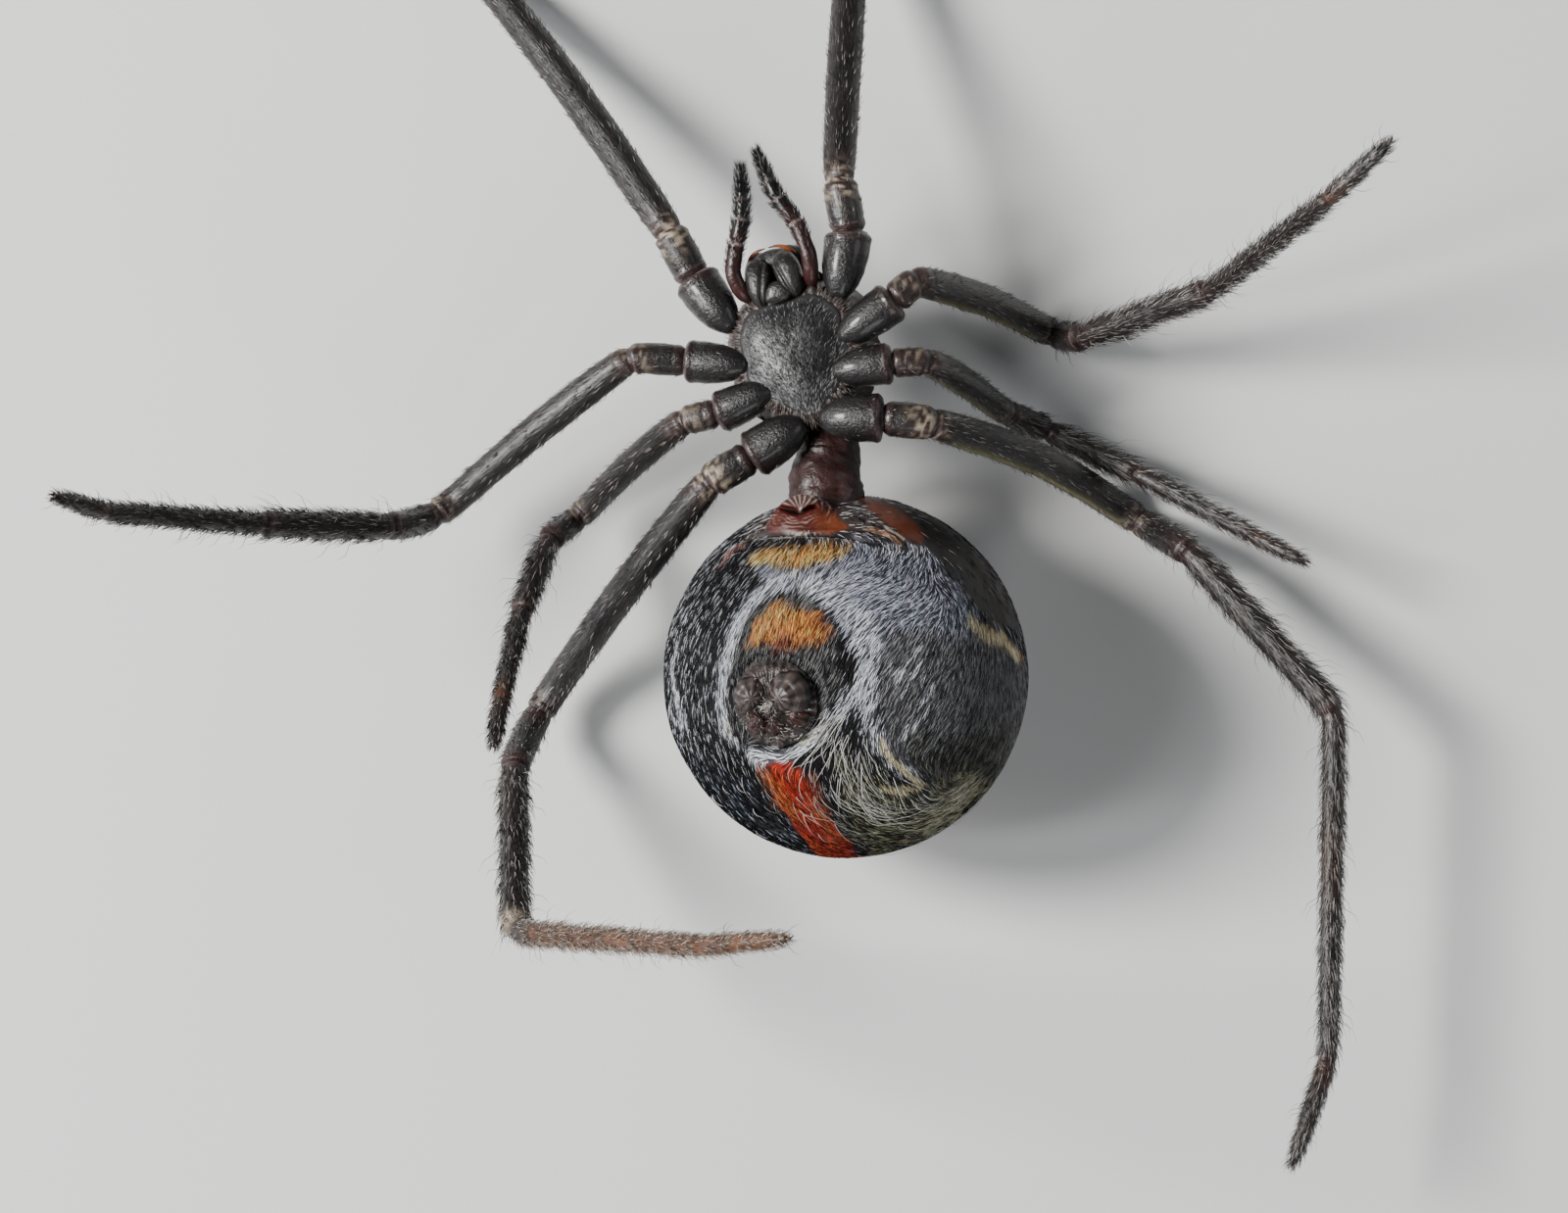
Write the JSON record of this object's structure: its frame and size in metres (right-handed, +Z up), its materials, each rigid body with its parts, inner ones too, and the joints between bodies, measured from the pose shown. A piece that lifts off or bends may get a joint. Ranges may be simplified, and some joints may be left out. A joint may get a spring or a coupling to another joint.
{
  "type": "black widow spider",
  "caption": "Life-size museum model of a female widow spider lying on its back, long legs spread, round abdomen with spinnerets and red stripe up.",
  "frame": {"origin": "centre of the small flat on which the abdomen rests, on the floor", "axes": "+Z up, out of the belly; +Y towards the head; +X towards the animal's own left side"},
  "size_m": [0.0266, 0.0437, 0.0134],
  "materials": {
    "coxa_black": "glossy black coxae with dark red joints",
    "leg_black": "satin black-brown cuticle with short bristles",
    "breast_black": "glossy black with fine hairs",
    "carapace_black": "glossy dark brown-black",
    "abdomen_black": "black skin under fine hair, with red, orange and whitish markings",
    "pedicel_brown": "dark red-brown",
    "spinneret_brown": "dark brown, hairy",
    "mouth_black": "glossy black",
    "jaw_brown": "dark jaws with orange-brown fangs",
    "palp_brown": "red-brown to black, bristly, with a pale ring"
  },
  "bodies": {
    "root": {"carapace": "carapace_black", "sternum": "breast_black", "mouthparts": "mouth_black", "chelicera_L": "jaw_brown", "chelicera_R": "jaw_brown", "palp_L": "palp_brown", "palp_R": "palp_brown", "abdomen": "abdomen_black", "spinnerets": "spinneret_brown", "pedicel": "pedicel_brown", "leg_L1_coxa": "coxa_black", "leg_L1_femur": "leg_black", "leg_L1_patella": "leg_black", "leg_L1_tibia": "leg_black", "leg_L1_metatarsus": "leg_black", "leg_L1_tarsus": "leg_black", "leg_L2_coxa": "coxa_black", "leg_L2_femur": "leg_black", "leg_L2_patella": "leg_black", "leg_L2_tibia": "leg_black", "leg_L2_metatarsus": "leg_black", "leg_L2_tarsus": "leg_black", "leg_L3_coxa": "coxa_black", "leg_L3_femur": "leg_black", "leg_L3_patella": "leg_black", "leg_L3_tibia": "leg_black", "leg_L3_metatarsus": "leg_black", "leg_L3_tarsus": "leg_black", "leg_L4_coxa": "coxa_black", "leg_L4_femur": "leg_black", "leg_L4_patella": "leg_black", "leg_L4_tibia": "leg_black", "leg_L4_metatarsus": "leg_black", "leg_L4_tarsus": "leg_black", "leg_R1_coxa": "coxa_black", "leg_R1_femur": "leg_black", "leg_R1_patella": "leg_black", "leg_R1_tibia": "leg_black", "leg_R1_metatarsus": "leg_black", "leg_R1_tarsus": "leg_black", "leg_R2_coxa": "coxa_black", "leg_R2_femur": "leg_black", "leg_R2_patella": "leg_black", "leg_R2_tibia": "leg_black", "leg_R2_metatarsus": "leg_black", "leg_R2_tarsus": "leg_black", "leg_R3_coxa": "coxa_black", "leg_R3_femur": "leg_black", "leg_R3_patella": "leg_black", "leg_R3_tibia": "leg_black", "leg_R3_metatarsus": "leg_black", "leg_R3_tarsus": "leg_black", "leg_R4_coxa": "coxa_black", "leg_R4_femur": "leg_black", "leg_R4_patella": "leg_black", "leg_R4_tibia": "leg_black", "leg_R4_metatarsus": "leg_black", "leg_R4_tarsus": "leg_black"}
  },
  "joints": []
}
